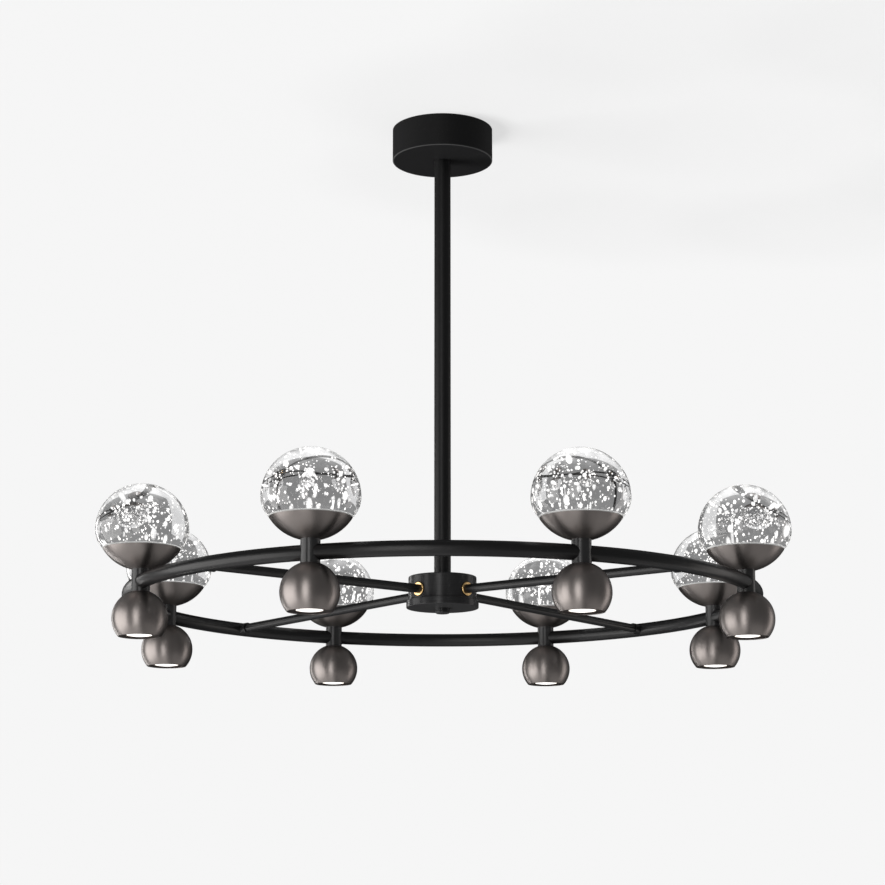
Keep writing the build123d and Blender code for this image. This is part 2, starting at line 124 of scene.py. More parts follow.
class CrystalSettings(bpy.types.PropertyGroup):
    """The crystal balls and the bubbles in them."""

    ground_drop: length("Ground face", 0.020, "Ball's middle down to its ground face")
    belly_radius: length("Belly", 0.029, "Rounding of the ball's side below its middle")
    boss_radius: length("Boss radius", 0.0346, "Radius of the boss that sits in the cup")
    polish: length("Polished edge", 0.0006, "Rounding of the ground face's edge")
    bubbles: whole("Bubbles", 96, "Main air bubbles in each ball")
    bubble_small: length("Smallest bubble", 0.0009, "Radius of the smallest main bubbles")
    bubble_large: length("Largest bubble", 0.0023, "Radius of the largest main bubbles")
    skin: length("Clear skin", 0.0020, "Least crystal between a bubble and the surface")
    froth: whole("Froth", 12, "Small bubbles tried round each main bubble")
    froth_spread: length("Froth spread", 0.0046, "How far small bubbles lie from their main one")
    froth_small: length("Smallest froth", 0.00035, "Radius of the smallest bubbles in the froth")
    froth_large: length("Largest froth", 0.0011, "Radius of the largest bubbles in the froth")
    froth_band: length("Froth band", 0.013, "How far above and below its height the froth is dense")
    seed: whole("Seed", 4, "Another seed scatters the froth differently")
    tint: colour("Crystal tint", (0.74, 0.74, 0.745), "What the crystal's middle lets through")


class FinishSettings(bpy.types.PropertyGroup):
    """Colours of the metals and of the light."""

    coat: colour("Black coat", (0.0105, 0.0105, 0.011), "Canopy, rod, ring and arms")
    satin: colour("Dark satin", (0.036, 0.036, 0.037), "Hub and lamp stems")
    nickel: colour("Black nickel", (0.262, 0.238, 0.228), "Cups and spot balls")
    brass: colour("Brass", (0.98, 0.66, 0.30), "Rings where the arms enter the hub")
    glow: colour("Light", (1.0, 0.98, 0.95), "Colour of the lamps' light")
    lens_strength: amount("Lens strength", 1.15, "How bright the spot lenses look")
    bubble_strength: amount("Bubble strength", 1.7, "How bright the lit bubbles look")


class StudioSettings(bpy.types.PropertyGroup):
    """Ceiling, floor, screens, light and camera."""

    paper: colour("Background", (0.921, 0.921, 0.921), "Plain background, ceiling and floor")
    surround: amount("Surround", 0.165, "Even tone that metal reflects between the screens")
    ambient: amount("Ambient", 0.40, "Even light from all round")
    key: amount("Key light", 3.2, "Light from low on the left, which casts the canopy's shadow")
    ceiling_matt: amount("Ceiling", 0.23, "How much of the light the ceiling takes", max=0.9)
    shade: amount("Shade", 0.31, "Tone of the shade that shows through the crystal")
    floor_drop: length("Floor", 2.4, "Ceiling down to the floor")
    camera_reach: length("Camera distance", 2.5389, "Rod's axis to the camera")
    camera_drop: length("Camera height", 0.9315, "Ceiling down to the camera")
    camera_pitch: angle("Camera pitch", 12.34, "How far the camera looks up")
    camera_turn: angle("Camera turn", -90.615, "Where the camera stands round the rod")
    focal: amount("Focal length", 92.48, "Millimetres, on a sensor 36 mm wide", low=1.0)


# ---------------------------------------------------------------- materials

def off_axis(x, y):
    """Distance of the place (x, y) from the upright axis at 0."""
    return (x * x + y * y) ** 0.5


def uneven(level, noise, spread):
    """The level, moved by noise about 0.5 through a spread with the level in its middle."""
    return level - spread / 2 + noise * spread


def grey(level):
    """A colour with no hue."""
    return (level, level, level)


class Value:
    """A value inside a material. Arithmetic on it adds Math nodes."""

    def __init__(self, finish, socket):
        self.finish, self.socket = finish, socket

    def math(self, operation, *others):
        """Any other operation of a Math node, with this value first."""
        return self.finish.math(operation, self, *others)

    def __add__(self, other):
        return self.math("ADD", other)

    def __sub__(self, other):
        return self.math("SUBTRACT", other)

    def __rsub__(self, other):
        return self.finish.math("SUBTRACT", other, self)

    def __mul__(self, other):
        return self.math("MULTIPLY", other)

    def __truediv__(self, other):
        return self.math("DIVIDE", other)

    def __pow__(self, other):
        return self.math("POWER", other)

    __radd__ = __add__
    __rmul__ = __mul__

    def rise(self, start, end):
        """0 below start, 1 above end, and a smooth step between."""
        return self.finish.add(
            "ShaderNodeMapRange", {"interpolation_type": "SMOOTHSTEP"},
            {"Value": self, "From Min": start, "From Max": end},
        )["Result"]


class Finish:
    """A material, or the studio's world, under construction."""

    def __init__(self, name, kind="materials"):
        self.owner = getattr(bpy.data, kind).new(name)
        self.owner.use_nodes = True
        self.tree = self.owner.node_tree
        self.tree.nodes.clear()

    def add(self, kind, settings, links):
        """Adds a node: its settings first, then the values or links of its sockets.

        A plain colour has three numbers. The result is the node's outputs by name, and of
        outputs with one name the first."""
        node = self.tree.nodes.new(kind)
        for name, value in settings.items():
            setattr(node, name, value)
        for name, value in links.items():
            socket = node.inputs[name]
            if isinstance(value, Value):
                self.tree.links.new(value.socket, socket)
            else:
                socket.default_value = (*value, 1.0) if socket.type == "RGBA" else value
        outputs = reversed([output for output in node.outputs if output.enabled])
        return {output.name: Value(self, output) for output in outputs}

    def math(self, operation, *values):
        """A Math node over values and plain numbers."""
        links = dict(enumerate(values))
        return self.add("ShaderNodeMath", {"operation": operation}, links)["Value"]

    def mix(self, factor, first, second):
        """Blend of two colours."""
        links = {0: factor, 6: first, 7: second}
        return self.add("ShaderNodeMix", {"data_type": "RGBA"}, links)["Result"]

    def tones(self, factor, base, dark, light):
        """Blend of two tones of one colour, which are shares of it, up to white."""
        first, second = ([min(1.0, c * share) for c in base] for share in (dark, light))
        return self.mix(factor, first, second)

    def place(self):
        """The point's place on the object."""
        return self.add("ShaderNodeTexCoord", {}, {})["Object"]

    def axes(self):
        """The point's place as three numbers, in metres."""
        parts = self.add("ShaderNodeSeparateXYZ", {}, {"Vector": self.place()})
        return parts["X"], parts["Y"], parts["Z"]

    def lamp_axes(self):
        """Distance outwards and sideways from the nearest lamp's axis, and the height."""
        x, y, z = self.axes()
        turn = y.math("ARCTAN2", x)
        nearest = ((turn / LAMP_STEP - 0.5).math("ROUND") + 0.5) * LAMP_STEP
        aside = turn - nearest
        reach = off_axis(x, y)
        return reach * aside.math("COSINE") - RING_RADIUS, reach * aside.math("SINE"), z

    def noise(self, scale, detail=2.0):
        """Even noise over the object, about 0.5; the scale is in waves per metre."""
        links = {"Vector": self.place(), "Scale": scale, "Detail": detail}
        return self.add("ShaderNodeTexNoise", {}, links)["Fac"]

    def line_noise(self, along, scale, detail=2.0):
        """Noise along one number, about 0.5."""
        links = {"W": along, "Scale": scale, "Detail": detail}
        return self.add("ShaderNodeTexNoise", {"noise_dimensions": "1D"}, links)["Fac"]

    def facing(self, blend):
        """0 where the surface faces the eye, 1 at its outline."""
        return self.add("ShaderNodeLayerWeight", {}, {"Blend": blend})["Facing"]

    def relief(self, height, depth, strength):
        """Bump of a given depth in metres."""
        links = {"Height": height, "Distance": depth, "Strength": strength}
        return self.add("ShaderNodeBump", {}, links)["Normal"]

    def skin(self, **inputs):
        """Principled surface; underscores in the names stand for spaces."""
        links = {name.replace("_", " "): value for name, value in inputs.items()}
        return self.add("ShaderNodeBsdfPrincipled", {}, links)["BSDF"]

    def glow(self, tone, strength=1.0):
        """Even light of one tone."""
        links = {"Color": tone, "Strength": strength}
        return self.add("ShaderNodeEmission", {}, links)["Emission"]

    def done(self, shader):
        """Closes the material with its surface and returns it."""
        self.add("ShaderNodeOutputMaterial", {}, {"Surface": shader})
        return self.owner


# Where a finish changes on its piece, in metres: start and end of the change
# Band of the painted highlight along the canopy's lower edge
EDGE_HIGHLIGHT_ABOVE = (0.0003, 0.0013)     # up from the canopy's lower edge
EDGE_HIGHLIGHT_INSIDE = (0.0018, 0.0007)    # in from the canopy's outside
GROUND_ABOVE = (0.0012, 0.0020)     # up from the cup's rim
LENS_FADE = (0.007, 0.0137)         # out from the lens's middle
CHIP_BELOW = (0.0005, 0.0003)       # down from the tops of the chips
# Where the painted glow under the crystal's top begins
TOP_GLOW_START = 0.3                    # up from the ball's middle, as a share of its radius

DUST_TONE, DUST_COVER = grey(0.09), 0.25
# Tone of the painted highlight on the canopy's lower edge
EDGE_HIGHLIGHT_TONE = grey(0.085)
LENS_RIM_TONE = (0.93, 0.86, 0.78)
CHIP_YELLOW = (0.9, 0.75, 0.3)


def canopy_edge_highlight(f):
    """Mask of the painted highlight on the canopy's lower edge: 1 on the edge, 0 a little above it
    and inside it.
    """
    x, y, z = f.axes()
    low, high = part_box("canopy")
    above = z.rise(*(low[2] + step for step in EDGE_HIGHLIGHT_ABOVE))
    return (1 - above) * off_axis(x, y).rise(*(high[0] - step for step in EDGE_HIGHLIGHT_INSIDE))


def satin_coat(name, base, roughness, sheen=0.3, edge_highlight=None):
    """Sprayed satin coat: fine orange peel, slow changes of gloss and a trace of dust.

    The function given last, if any, gives where a painted highlight lightens the coat's tone."""
    f = Finish(name)
    cloud = f.noise(scale=7.0, detail=3.0)
    peel = f.noise(scale=900.0)
    dust = f.noise(scale=2600.0, detail=0.0).rise(0.68, 0.80)
    base_colour = f.mix(dust * DUST_COVER, f.tones(cloud, base, 0.85, 1.2), DUST_TONE)
    if edge_highlight:
        # Painted highlight: the coat is lightened where the given mask says
        base_colour = f.mix(edge_highlight(f) * (0.4 + 0.6 * cloud), base_colour, EDGE_HIGHLIGHT_TONE)
    return f.done(f.skin(
        Base_Color=base_colour, Roughness=uneven(roughness, cloud, 0.1) + dust * 0.1,
        Normal=f.relief(peel, depth=0.00004, strength=0.35), IOR=1.5, Specular_IOR_Level=sheen,
    ))


def spun_nickel(name, base, tone=1.0):
    """Black nickel on spun metal: lathe lines round each lamp's axis and slow smoky changes."""
    f = Finish(name)
    outwards, sideways, height = f.lamp_axes()
    lines = f.line_noise(height, scale=2600.0, detail=3.0)
    wedge = f.line_noise(sideways.math("ARCTAN2", outwards), scale=1.6)
    smoke = f.noise(scale=38.0, detail=3.0)
    base_colour = f.tones(smoke * 0.5 + wedge * 0.5, [c * tone for c in base], 0.72, 1.22)
    return f.done(f.skin(
        Base_Color=base_colour, Metallic=1.0, Roughness=0.31 + lines * 0.1 + smoke * 0.04,
        Normal=f.relief(lines, depth=0.000012, strength=0.5),
        Anisotropic=0.6, Anisotropic_Rotation=0.25,
    ))


def turned_satin(name, base, roughness, sheen=0.5):
    """Dark lacquer over turned metal: lathe lines under a soft gloss."""
    f = Finish(name)
    height = f.axes()[2]
    lines = f.line_noise(height, scale=3200.0)
    cloud = f.noise(scale=24.0, detail=3.0)
    return f.done(f.skin(
        Base_Color=f.tones(cloud, base, 0.8, 1.25), Metallic=0.3,
        Roughness=uneven(roughness, lines, 0.08), IOR=1.5, Specular_IOR_Level=sheen,
        Normal=f.relief(lines, depth=0.00001, strength=0.3),
        Anisotropic=0.5, Anisotropic_Rotation=0.25,
    ))


def polished_metal(name, base, roughness):
    """Polished metal with hairlines and a little uneven tarnish."""
    f = Finish(name)
    tarnish = f.noise(scale=160.0, detail=3.0)
    hairs = f.noise(scale=4200.0, detail=1.0)
    return f.done(f.skin(
        Base_Color=f.tones(tarnish, base, 0.82, 1.0), Metallic=1.0,
        Roughness=uneven(roughness, tarnish, 0.06),
        Normal=f.relief(hairs, depth=0.000006, strength=0.5),
    ))


def plated_steel(name, base):
    """Zinc-plated sheet: mottled spangle and rolled grain."""
    f = Finish(name)
    spangle = f.noise(scale=260.0, detail=1.0)
    grain = f.noise(scale=1500.0)
    return f.done(f.skin(
        Base_Color=f.tones(spangle, base, 0.78, 1.1), Metallic=1.0,
        Roughness=uneven(0.38, spangle, 0.16),
        Normal=f.relief(grain, depth=0.00002, strength=0.4),
    ))


def moulded(name, base, roughness=0.5):
    """Moulded plastic or rubber with a fine spark-eroded grain."""
    f = Finish(name)
    grain = f.noise(scale=1400.0)
    cloud = f.noise(scale=40.0)
    return f.done(f.skin(
        Base_Color=f.tones(cloud, base, 0.88, 1.06), Roughness=uneven(roughness, cloud, 0.12),
        Normal=f.relief(grain, depth=0.00005, strength=0.5),
    ))


def lit_lens(name, tone, strength):
    """Opal lens, lit from behind: brightest in the middle, a little warmer at its rim."""
    f = Finish(name)
    outwards, sideways, _ = f.lamp_axes()
    edge = off_axis(outwards, sideways).rise(*LENS_FADE)
    speckle = f.noise(scale=1800.0, detail=1.0)
    light = f.mix(edge, tone, [c * share for c, share in zip(tone, LENS_RIM_TONE)])
    return f.done(f.skin(
        Base_Color=f.mix(speckle * 0.2, grey(0.9), grey(0.8)), Roughness=0.35,
        Emission_Color=light, Emission_Strength=strength,
        Normal=f.relief(speckle, depth=0.00002, strength=0.3),
    ))


def lit_board(name, tone):
    """White circuit board with a painted glow of the chips' light over it; what stands above it is
    the lit chips.
    """
    f = Finish(name)
    height = f.axes()[2]
    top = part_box("uplight_boards")[1][2]
    chip = height.rise(*(top - step for step in CHIP_BELOW))
    mask = f.noise(scale=900.0)
    board = f.mix(mask, grey(0.72), grey(0.82))
    return f.done(f.skin(
        Base_Color=f.mix(chip, board, CHIP_YELLOW), Roughness=0.4 + mask * 0.1,
        # The board between the chips glows too: a painted glow of the chips' light
        Emission_Color=f.mix(chip, grey(0.25), tone), Emission_Strength=2.0,
        Normal=f.relief(mask, depth=0.00002, strength=0.3),
    ))


def crystal(name, tint):
    """Polished crystal: greyer through its middle and clear at its outline.

    A painted glow lies in patches under its top, and its seat in the cup is ground."""
    f = Finish(name)
    height = f.axes()[2]
    outline = f.facing(0.5).rise(0.3, 0.6)
    ground = 1 - height.rise(*(RIM_HEIGHT + step for step in GROUND_ABOVE))
    wave = f.noise(scale=24.0, detail=1.0)
    glow_patches = f.noise(scale=60.0, detail=3.0).rise(0.3, 0.62)
    top = height.rise(BALL_HEIGHT + TOP_GLOW_START * BALL_RADIUS, BALL_HEIGHT + BALL_RADIUS)
    return f.done(f.skin(
        Base_Color=f.mix(outline, tint, grey(0.99)), Roughness=ground * 0.35,
        Transmission_Weight=1.0, IOR=1.5, Normal=f.relief(wave, depth=0.0002, strength=0.25),
        # Painted glow in patches under the ball's top
        Emission_Color=f.mix(top * glow_patches, grey(0.0), grey(1.0)), Emission_Strength=0.5,
    ))


def lit_bubble(name, tone, strength):
    """Air bubble with a painted glow, as if lit from below: white, with painted shade softer and
    greyer towards its outline.
    """
    f = Finish(name)
    outline = f.facing(0.4).rise(0.12, 0.5)
    twinkle = f.noise(scale=210.0, detail=1.0).rise(0.35, 0.6)
    # Painted glow of the bubble, with painted shade towards its outline
    light = f.mix(outline, f.mix(twinkle, grey(0.35), tone), grey(0.16))
    return f.done(f.skin(
        Base_Color=grey(0.9), Roughness=0.1, Emission_Color=light, Emission_Strength=strength,
    ))


# ---------------------------------------------------------------- meshes

# How finely a crystal ball is divided: along its outline from the top, and round its axis
DOME_STEPS, BELLY_STEPS, POLISH_STEPS, FOOT_STEPS, ROUND_STEPS = 72, 24, 7, 5, 128

# Fractions whose even steps place the main bubbles, as they do in the solid
SIZE_STEP, HEIGHT_STEP, REACH_STEP, BEARING_STEP = 0.618034, 0.7518, 0.2738, 0.847
SIZE_POWER, HEIGHT_POWER = 2, 1.15

FROTH_HEIGHT = 0.008    # ball's middle up to where the froth is densest, in metres
FROTH_LIFT = 0.001      # froth's least height over the ground face, in metres
FROTH_THIN = 0.16       # share of the froth that stays far from its dense band
SEED_STEP = 100         # between the draws of one seed and the next


def closed_skin(rings, first_pole, last_pole):
    """Faces over rings of points, closed by a fan at each pole.

    rings has the shape (shells, rings, steps, 3) and each pole (shells, 3). The result is the
    points of all shells, one after another, and their faces, which point outwards where the
    rings run downwards."""
    shells, count, steps = rings.shape[:3]
    walls = rings.reshape(shells, count * steps, 3)
    points = np.concatenate([first_pole[:, None], walls, last_pole[:, None]], axis=1)
    here = np.arange(steps)
    beside = (here + 1) % steps
    row = 1 + steps * np.arange(count - 1)[:, None]
    below = row + steps
    sides = np.stack([row + here, below + here, below + beside, row + beside], axis=-1)
    last = 1 + steps * (count - 1)
    top = np.stack([np.zeros_like(here), 1 + here, 1 + beside], axis=-1)
    bottom = np.stack([np.full_like(here, last + steps), last + beside, last + here], axis=-1)
    shift = (points.shape[1] * np.arange(shells))[:, None, None]
    groups = (sides.reshape(-1, 4), top, bottom)
    faces = [(group[None] + shift).reshape(-1, group.shape[1]) for group in groups]
    return points.reshape(-1, 3), faces


def new_piece(name, points, faces, material, body):
    """Mesh object from arrays, smooth, with its finish, which rides on a body."""
    mesh = bpy.data.meshes.new(name)
    corners = np.concatenate([group.ravel() for group in faces])
    sizes = np.concatenate([np.full(len(group), group.shape[1]) for group in faces])
    starts = np.concatenate([[0], np.cumsum(sizes)[:-1]])
    mesh.vertices.add(len(points))
    mesh.vertices.foreach_set("co", points.ravel())
    mesh.loops.add(len(corners))
    mesh.loops.foreach_set("vertex_index", corners)
    mesh.polygons.add(len(sizes))
    mesh.polygons.foreach_set("loop_start", starts)
    mesh.polygons.foreach_set("use_smooth", np.ones(len(sizes), dtype=bool))
    mesh.update(calc_edges=True)
    mesh.validate()
    mesh.materials.append(material)
    piece = bpy.data.objects.new(name, mesh)
    bpy.context.scene.collection.objects.link(piece)
    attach(piece, body)
    return piece


def turned(profile, middle):
    """Surface of revolution: the profile (r, z), from pole to pole, turned once round.

    point(s, t) = middle + (r(s) cos t, r(s) sin t, z(s))."""
    turn = np.linspace(0.0, tau, ROUND_STEPS, endpoint=False)
    radius, height = profile[1:-1, 0, None], profile[1:-1, 1, None]
    places = np.broadcast_arrays(radius * np.cos(turn), radius * np.sin(turn), height)
    first, last = (middle + (0.0, 0.0, profile[end, 1]) for end in (0, -1))
    return closed_skin(np.stack(places, axis=-1)[None] + middle, first[None], last[None])


def arc(radius, middle, start, end, count):
    """Points (r, z) along an arc: middle + radius (sin a, cos a), with a from straight up."""
    turn = np.linspace(start, end, count)
    places = [middle[0] + radius * np.sin(turn), middle[1] + radius * np.cos(turn)]
    return np.stack(places, axis=-1)


def ball_profile(settings):
    """Outline (r, z) of a crystal ball from its top down, about its middle.

    A dome, a tighter belly, a polished edge, the ground face and the boss in the cup: three
    arcs that meet without a corner, a level line, and a short upright that ends in an arc."""
    drop, belly = settings.ground_drop, settings.belly_radius
    edge, boss = settings.polish, settings.boss_radius
    foot = BALL_LOW[2] - BALL_HEIGHT
    middle = BALL_RADIUS - belly
    corner = sqrt((belly - edge) ** 2 - (drop - edge) ** 2)
    lean = pi / 2 + atan2(drop - edge, corner)
    return np.concatenate([
        arc(BALL_RADIUS, (0, 0), 0, pi / 2, DOME_STEPS),
        arc(belly, (middle, 0), pi / 2, lean, BELLY_STEPS)[1:],
        arc(edge, (middle + corner, edge - drop), lean, pi, POLISH_STEPS)[1:],
        [[(middle + corner + boss) / 2, -drop], [boss + edge, -drop], [boss, -drop - edge / 2]],
        arc(edge, (boss - edge, foot + edge), pi / 2, pi, FOOT_STEPS),
        [[boss / 2, foot], [0, foot]],
    ])


def main_bubbles(settings, turn):
    """Middles and radii of one ball's main bubbles, about the ball's middle.

    They stand where the solid has them: even steps of four fractions give each its size,
    height, distance from the axis and bearing."""
    step = np.arange(1, settings.bubbles + 1)
    growth = settings.bubble_large - settings.bubble_small
    sizes = settings.bubble_small + growth * (step * SIZE_STEP % 1) ** SIZE_POWER
    margin = sizes + settings.skin
    low, high = margin - settings.ground_drop, BALL_RADIUS - margin
    height = low + (high - low) * (step * HEIGHT_STEP % 1) ** HEIGHT_POWER
    belly = settings.belly_radius
    reach = np.where(
        height > 0, np.sqrt(np.maximum(high ** 2 - height ** 2, 0)),
        BALL_RADIUS - belly + np.sqrt(np.maximum((belly - margin) ** 2 - height ** 2, 0)),
    )
    distance = reach * np.sqrt(step * REACH_STEP % 1)
    bearing = tau * (step * BEARING_STEP % 1) + turn
    places = [distance * np.cos(bearing), distance * np.sin(bearing), height]
    return np.stack(places, axis=-1), sizes


def froth_bubbles(settings, turn, places):
    """Middles and radii of the small bubbles round the main ones' places, drawn at random.

    The share that stays falls off as a bell curve above and below the froth's own height, to
    a thin rest, and none comes near the surface."""
    draw = np.random.default_rng(settings.seed * SEED_STEP + round(degrees(turn)) % 360)
    count = len(places) * settings.froth
    near = np.repeat(places, settings.froth, axis=0)
    near = near + draw.normal(size=(count, 3)) * settings.froth_spread
    growth = settings.froth_large / settings.froth_small
    sizes = settings.froth_small * growth ** draw.random(count)
    room = BALL_RADIUS - settings.skin - sizes
    height = near[:, 2]
    inside = np.linalg.norm(near, axis=1) < room
    inside &= height > sizes + FROTH_LIFT - settings.ground_drop
    inside &= np.hypot(near[:, 0], near[:, 1]) < room - settings.skin
    bell = np.exp(-((height - FROTH_HEIGHT) / settings.froth_band) ** 2)
    inside &= draw.random(count) < FROTH_THIN + (1 - FROTH_THIN) * bell
    return near[inside], sizes[inside]


def bubble_shells(middles, sizes, rings=3, steps=7):
    """Small spheres: point(s, t) = middle + size (sin s cos t, sin s sin t, cos s)."""
    polar = pi * np.arange(1, rings + 1)[:, None] / (rings + 1)
    turn = np.linspace(0.0, tau, steps, endpoint=False)
    unit = np.stack(np.broadcast_arrays(
        np.sin(polar) * np.cos(turn), np.sin(polar) * np.sin(turn), np.cos(polar),
    ), axis=-1)
    scaled = unit[None] * sizes[:, None, None, None] + middles[:, None, None, :]
    up = np.array([0.0, 0.0, 1.0]) * sizes[:, None]
    return closed_skin(scaled, middles + up, middles - up)


# ---------------------------------------------------------------- operators

def dress(nodes, material):
    """Gives CAD nodes their finish."""
    for name in nodes:
        for slot in frame["nodes"][name].material_slots:
            slot.material = material


def numbered(name):
    """The nodes of one kind, one for each lamp."""
    return [f"{name}_{number}" for number in LAMPS]


class CHANDELIER_OT_coated(bpy.types.Operator):
    """Satin black coat on the canopy, rod, ring and arms"""

    bl_idname = "chandelier.coated"
    bl_label = "Coated pieces"

    def execute(self, context):
        coat = context.scene.chandelier_finishes.coat
        arms = [
            name for name in frame["nodes"]
            if name.startswith("arm_") and name.split("_")[1].isdigit()
        ]
        dress(["ring_segments", "arm_collars", *arms], satin_coat("black_coat_satin", coat, 0.30))
        # The canopy's coat carries a painted highlight along its lower edge
        dress(["canopy"], satin_coat("canopy_satin", coat, 0.46, 0.12, canopy_edge_highlight))
        dress(["rod"], satin_coat("rod_satin", coat, 0.36, 0.2))
        return {"FINISHED"}


class CHANDELIER_OT_satin(bpy.types.Operator):
    """Dark satin on the hub, its cover and finial, and the lamp stems"""

    bl_idname = "chandelier.satin"
    bl_label = "Hub and stems"

    def execute(self, context):
        satin = context.scene.chandelier_finishes.satin
        dress(["lamp_stems"], turned_satin("stem_satin", satin, 0.34))
        hub = turned_satin("hub_satin", satin, 0.28, 0.18)
        dress(["hub_body", "hub_cover", "finial"], hub)
        return {"FINISHED"}


class CHANDELIER_OT_nickel(bpy.types.Operator):
    """Black nickel on the cups and spot balls"""

    bl_idname = "chandelier.nickel"
    bl_label = "Cups and spot balls"

    def execute(self, context):
        nickel = context.scene.chandelier_finishes.nickel
        dress(numbered("spot_ball"), spun_nickel("black_nickel_spun", nickel))
        dress(numbered("cup"), spun_nickel("black_nickel_cup", nickel, 0.95))
        return {"FINISHED"}


class CHANDELIER_OT_brass(bpy.types.Operator):
    """Polished brass on the rings round the arms"""

    bl_idname = "chandelier.brass"
    bl_label = "Brass rings"

    def execute(self, context):
        brass = context.scene.chandelier_finishes.brass
        dress(["arm_ferrules"], polished_metal("brass_polished", brass, 0.24))
        return {"FINISHED"}


class CHANDELIER_OT_crystals(bpy.types.Operator):
    """Crystal balls with their bubbles"""

    bl_idname = "chandelier.crystals"
    bl_label = "Crystal balls"

    def execute(self, context):
        settings = context.scene.chandelier_crystal
        look = context.scene.chandelier_finishes
        clear = crystal("crystal_clear", settings.tint)
        lit = lit_bubble("bubble_lit", look.glow, look.bubble_strength)
        profile = ball_profile(settings)
        for number in LAMPS:
            node = f"globe_{number}"
            middle = ball_middle(number)
            points, faces = turned(profile, middle)
            ball = new_piece(f"crystal_ball_{number}", points, faces, clear, node)
            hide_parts(node)
            turn = atan2(middle[1], middle[0])
            places, sizes = main_bubbles(settings, turn)
            small_places, small_sizes = froth_bubbles(settings, turn, places)
            places = np.concatenate([places, small_places]) + middle
            points, faces = bubble_shells(places, np.concatenate([sizes, small_sizes]))
            new_piece(f"bubbles_{number}", points, faces, lit, node)
        return {"FINISHED"}


class CHANDELIER_OT_optics(bpy.types.Operator):
    """Lenses, bezels, boards and what holds them"""

    bl_idname = "chandelier.optics"
    bl_label = "Lamps' insides"

    def execute(self, context):
        look = context.scene.chandelier_finishes
        dress(["spot_lenses"], lit_lens("lens_lit", look.glow, look.lens_strength))
        dress(["spot_bezels"], polished_metal("bezel_satin", (0.42, 0.37, 0.35), 0.3))
        dress(["spot_modules"], plated_steel("module_metal", (0.30, 0.30, 0.31)))
        dress(["uplight_heatsinks"], plated_steel("heatsink_metal", (0.62, 0.62, 0.64)))
        dress(["uplight_boards"], lit_board("board_lit", look.glow))
        dress(["globe_gaskets"], moulded("silicone_clear", (0.62, 0.62, 0.60), 0.45))
        return {"FINISHED"}


class CHANDELIER_OT_fittings(bpy.types.Operator):
    """Ceiling plate, swivel, wiring and fasteners"""

    bl_idname = "chandelier.fittings"
    bl_label = "Fittings"

    def execute(self, context):
        dress([
            "mounting_plate", "swivel_housing", "swivel_stop_pin", "housing_screws",
            "swivel_stem", "rod_bushes", "canopy_nuts", "hub_nipple", "hub_nut", "arm_nuts",
        ], plated_steel("zinc_plated", (0.62, 0.62, 0.60)))
        dress(["canopy_screws"], satin_coat("screw_black", (0.02, 0.02, 0.021), 0.4))
        dress(["led_driver"], moulded("driver_plastic", (0.75, 0.75, 0.73)))
        connector = moulded("connector_plastic", (0.72, 0.70, 0.64), 0.45)
        dress(["terminal_block", "hub_connector"], connector)
        dress(["mains_grommet"], moulded("grommet_rubber", grey(0.03), 0.65))
        dress(["rod_cable", "lamp_wiring"], moulded("cable_sleeve", grey(0.10)))
        return {"FINISHED"}


# ---------------------------------------------------------------- studio

WHITE, WARM = (1.0, 0.985, 0.97), (1.0, 0.95, 0.92)

# What shiny pieces reflect: name, first and last bearing, lower and upper edge, brightness and
# tone. Bearing 0 is towards the camera, and 90 to its right
SCREENS = (
    ("screen_left", -108, -50, -2.3, 0.2, 3.2, WHITE),
    ("screen_strip", -24, -6, -2.3, 0.7, 3.4, WHITE),
    ("screen_left_rim", -141, -134, -2.6, 0.2, 4.5, WHITE),
    ("screen_right", 94, 116, -2.4, 0.3, 1.5, WARM),
    ("screen_back", 145, 215, -6.0, 3.0, 0.02, WHITE),
)
SCREEN_REACH = 3.0

# What the cups' undersides reflect: name, left and right edge, and brightness
FLOOR_SCREENS = (("screen_floor_left", -3.2, 0.05, 0.85), ("screen_floor_right", 0.55, 3.2, 0.5))
FLOOR_SCREEN_NEAR, FLOOR_SCREEN_FAR, FLOOR_SCREEN_LIFT = -3.0, 1.0, 0.1

# What shows through the crystal: a wall on each side, at SHADE_REACH from the rod, and a roof.
# The walls at the front and back are wide, and paper shows past the narrow ones at the sides
SHADE_REACH, SHADE_WIDE, SHADE_NARROW = 1.6, 1.5, 0.58
SHADE_LOW, SHADE_TOP = -1.5, -0.0006
SHADE_WALLS = (
    ("shade_back", (-SHADE_WIDE, SHADE_REACH), (SHADE_WIDE, SHADE_REACH)),
    ("shade_front", (SHADE_WIDE, -SHADE_REACH), (-SHADE_WIDE, -SHADE_REACH)),
    ("shade_right", (SHADE_REACH, SHADE_NARROW), (SHADE_REACH, -SHADE_NARROW)),
    ("shade_left", (-SHADE_REACH, -SHADE_NARROW), (-SHADE_REACH, SHADE_NARROW)),
)

SHEET_REACH = 60.0                      # rod's axis to the edges of the ceiling and floor
CEILING_HEIGHT = 0.0003                 # just clear of the canopy's rim
KEY_WAY = Vector((0.44, 0.05, 0.66))    # the way the key light shines: right and up
KEY_ANGLE = radians(28)                 # how wide it looks, which softens its shadow
SENSOR_WIDTH = 36.0                     # millimetres
CAMERA_CLIP = (0.05, 200.0)


def one_sided(f, shader):
    """The shader from its front, and nothing from behind."""
    behind = f.add("ShaderNodeNewGeometry", {}, {})["Backfacing"]
    clear = f.add("ShaderNodeBsdfTransparent", {}, {})["BSDF"]
    return f.add("ShaderNodeMixShader", {}, {0: behind, 1: shader, 2: clear})["Shader"]


def panel(name, corners, material):
    """Flat stage panel through four corners, anticlockwise from its front."""
    mesh = bpy.data.meshes.new(name)
    mesh.from_pydata(corners, [], [(0, 1, 2, 3)])
    mesh.materials.append(material)
    piece = bpy.data.objects.new(name, mesh)
    bpy.context.scene.collection.objects.link(piece)
    return piece


